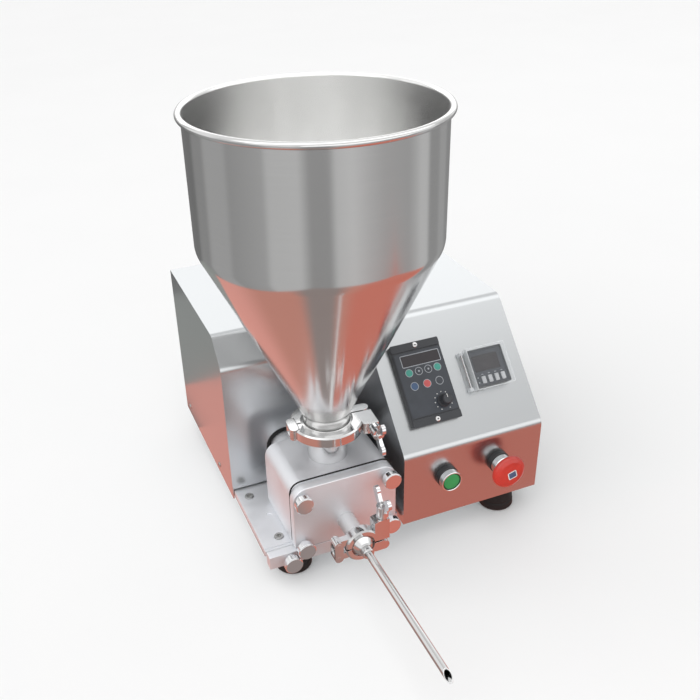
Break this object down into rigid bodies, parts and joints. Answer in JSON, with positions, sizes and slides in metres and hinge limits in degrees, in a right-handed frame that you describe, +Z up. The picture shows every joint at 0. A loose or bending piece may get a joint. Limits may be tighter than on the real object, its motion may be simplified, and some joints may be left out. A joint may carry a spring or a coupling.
{
  "type": "cream filling machine",
  "caption": "Bench-top cream filling machine with a clamped stainless hopper, a motor driven lobe pump, a bent steel cabinet with controls and a long filling needle.",
  "frame": {"origin": "on the floor below the middle of the machine's box", "axes": "X to the right seen from the needle's side, Y from the needle's tip to the rear cover, Z up"},
  "size_m": [0.3732, 0.5846, 0.5092],
  "materials": {
    "stainless_sheet": "fine brushed stainless sheet",
    "polished_stainless": "turned and polished stainless",
    "blasted_aluminium": "bead blasted and anodised",
    "polished_nut": "mirror polished",
    "gear_steel": "ground steel",
    "black_rubber": "matt",
    "white_silicone": "satin",
    "motor_paint": "satin paint",
    "black_plastic": "fine texture",
    "white_plastic": "gloss",
    "clear_plastic": "clear moulded plastic",
    "button_chrome": "plated",
    "green_plastic": "gloss",
    "red_plastic": "gloss",
    "dark_collar": "satin"
  },
  "bodies": {
    "machine": {"cabinet_shell": "stainless_sheet", "rear_cover": "stainless_sheet", "base_tray": "stainless_sheet", "casing_screws": "polished_stainless", "chassis_screws": "polished_stainless", "inlet_port": "polished_stainless", "hopper": "polished_stainless", "hopper_clamp_front": "polished_stainless", "hopper_clamp_rear": "polished_stainless", "hopper_clamp_link": "polished_stainless", "outlet_tube": "polished_stainless", "nozzle_cap": "polished_stainless", "needle": "polished_stainless", "nozzle_clamp_upper": "polished_stainless", "nozzle_clamp_lower": "polished_stainless", "nozzle_clamp_link": "polished_stainless", "cover_studs": "polished_stainless", "chassis_plate": "blasted_aluminium", "front_bar": "blasted_aluminium", "pump_body": "blasted_aluminium", "pump_cover": "blasted_aluminium", "gear_housing": "blasted_aluminium", "motor_bracket": "blasted_aluminium", "gear_head": "blasted_aluminium", "shaft_bearings": "gear_steel", "rubber_feet": "black_rubber", "pump_seals": "black_rubber", "housing_trim_ring": "black_rubber", "hopper_gasket": "white_silicone", "nozzle_gasket": "white_silicone", "motor_body": "motor_paint", "controller_body": "black_plastic", "counter_body": "black_plastic", "power_inlet": "black_plastic", "start_button_bezel": "button_chrome", "stop_button_collar": "dark_collar"},
    "drive_line": {"drive_rotor": "polished_stainless", "drive_shaft": "gear_steel", "drive_timing_gear": "gear_steel"},
    "driven_line": {"driven_rotor": "polished_stainless", "driven_shaft": "gear_steel", "driven_timing_gear": "gear_steel"},
    "knob_top_left": {"cover_knob_top_left": "polished_nut"},
    "knob_top_right": {"cover_knob_top_right": "polished_nut"},
    "knob_bottom_left": {"cover_knob_bottom_left": "polished_nut"},
    "knob_bottom_right": {"cover_knob_bottom_right": "polished_nut"},
    "bar_screw": {"bar_knob": "polished_nut"},
    "hopper_bolt": {"hopper_clamp_bolt": "polished_stainless"},
    "hopper_nut": {"hopper_wing_nut": "polished_stainless"},
    "nozzle_bolt": {"nozzle_clamp_bolt": "polished_stainless"},
    "nozzle_nut": {"nozzle_wing_nut": "polished_stainless"},
    "speed_dial": {"speed_knob": "black_plastic"},
    "clear_lid": {"counter_cover": "clear_plastic"},
    "key_1": {"counter_key_1": "white_plastic"},
    "key_2": {"counter_key_2": "white_plastic"},
    "key_3": {"counter_key_3": "white_plastic"},
    "key_4": {"counter_key_4": "white_plastic"},
    "start_button": {"start_button_cap": "green_plastic"},
    "stop_plunger": {"stop_button_stem": "dark_collar"},
    "stop_head": {"stop_button_head": "red_plastic"}
  },
  "joints": [
    {"name": "drive_spin", "type": "hinge", "parent": "machine", "child": "drive_line", "pos_m": [-0.04375, 0.0038, 0.089], "axis": [0, 1, 0], "continuous": true},
    {"name": "driven_spin", "type": "hinge", "parent": "machine", "child": "driven_line", "pos_m": [-0.07975, 0.0038, 0.089], "axis": [0, 1, 0], "continuous": true},
    {"name": "knob_top_left_turn", "type": "hinge", "parent": "machine", "child": "knob_top_left", "pos_m": [-0.11225, -0.0652, 0.1136], "axis": [0, -1, 0], "range_deg": [-180, 180]},
    {"name": "knob_top_right_turn", "type": "hinge", "parent": "machine", "child": "knob_top_right", "pos_m": [-0.01125, -0.0652, 0.1136], "axis": [0, -1, 0], "range_deg": [-180, 180]},
    {"name": "knob_bottom_left_turn", "type": "hinge", "parent": "machine", "child": "knob_bottom_left", "pos_m": [-0.11225, -0.0652, 0.0512], "axis": [0, -1, 0], "range_deg": [-180, 180]},
    {"name": "knob_bottom_right_turn", "type": "hinge", "parent": "machine", "child": "knob_bottom_right", "pos_m": [-0.01125, -0.0652, 0.0512], "axis": [0, -1, 0], "range_deg": [-180, 180]},
    {"name": "bar_screw_turn", "type": "hinge", "parent": "machine", "child": "bar_screw", "pos_m": [-0.12825, -0.0652, 0.0373], "axis": [0, -1, 0], "range_deg": [-180, 180]},
    {"name": "hopper_bolt_swing", "type": "hinge", "parent": "machine", "child": "hopper_bolt", "pos_m": [-0.01644, -0.00385, 0.1657], "axis": [0, 0, 1], "range_deg": [0, 30]},
    {"name": "hopper_nut_turn", "type": "hinge", "parent": "hopper_bolt", "child": "hopper_nut", "pos_m": [-0.01644, -0.00385, 0.1657], "axis": [-0.0698, -0.9976, 0], "range_deg": [-180, 180]},
    {"name": "nozzle_bolt_swing", "type": "hinge", "parent": "machine", "child": "nozzle_bolt", "pos_m": [-0.03695, -0.0977, 0.0615], "axis": [0, 1, 0], "range_deg": [0, 60]},
    {"name": "nozzle_nut_turn", "type": "hinge", "parent": "nozzle_bolt", "child": "nozzle_nut", "pos_m": [-0.03695, -0.0977, 0.0615], "axis": [0, 0, 1], "range_deg": [-180, 180]},
    {"name": "speed_turn", "type": "hinge", "parent": "machine", "child": "speed_dial", "pos_m": [0.07135, -0.02134, 0.16409], "axis": [0, -0.7288, 0.6848], "range_deg": [-150, 150]},
    {"name": "lid_hinge", "type": "hinge", "parent": "machine", "child": "clear_lid", "pos_m": [0.11045, -0.00766, 0.18596], "axis": [0, -0.6848, -0.7288], "range_deg": [0, 110]},
    {"name": "key_1_press", "type": "slide", "parent": "machine", "child": "key_1", "axis": [0, 0.7288, -0.6848], "range_m": [0, 0.0008], "stiffness_N_per_m": 800},
    {"name": "key_2_press", "type": "slide", "parent": "machine", "child": "key_2", "axis": [0, 0.7288, -0.6848], "range_m": [0, 0.0008], "stiffness_N_per_m": 800},
    {"name": "key_3_press", "type": "slide", "parent": "machine", "child": "key_3", "axis": [0, 0.7288, -0.6848], "range_m": [0, 0.0008], "stiffness_N_per_m": 800},
    {"name": "key_4_press", "type": "slide", "parent": "machine", "child": "key_4", "axis": [0, 0.7288, -0.6848], "range_m": [0, 0.0008], "stiffness_N_per_m": 800},
    {"name": "start_press", "type": "slide", "parent": "machine", "child": "start_button", "axis": [0, 1, 0], "range_m": [0, 0.003], "stiffness_N_per_m": 900},
    {"name": "stop_press", "type": "slide", "parent": "machine", "child": "stop_plunger", "axis": [0, 1, 0], "range_m": [0, 0.004]},
    {"name": "stop_release_twist", "type": "hinge", "parent": "stop_plunger", "child": "stop_head", "pos_m": [0.12875, -0.0758, 0.0895], "axis": [0, 1, 0], "range_deg": [0, 45], "stiffness_Nm_per_rad": 0.1}
  ],
  "couplings": [
    {"joint": "driven_spin", "follows": "drive_spin", "ratio": -1}
  ]
}
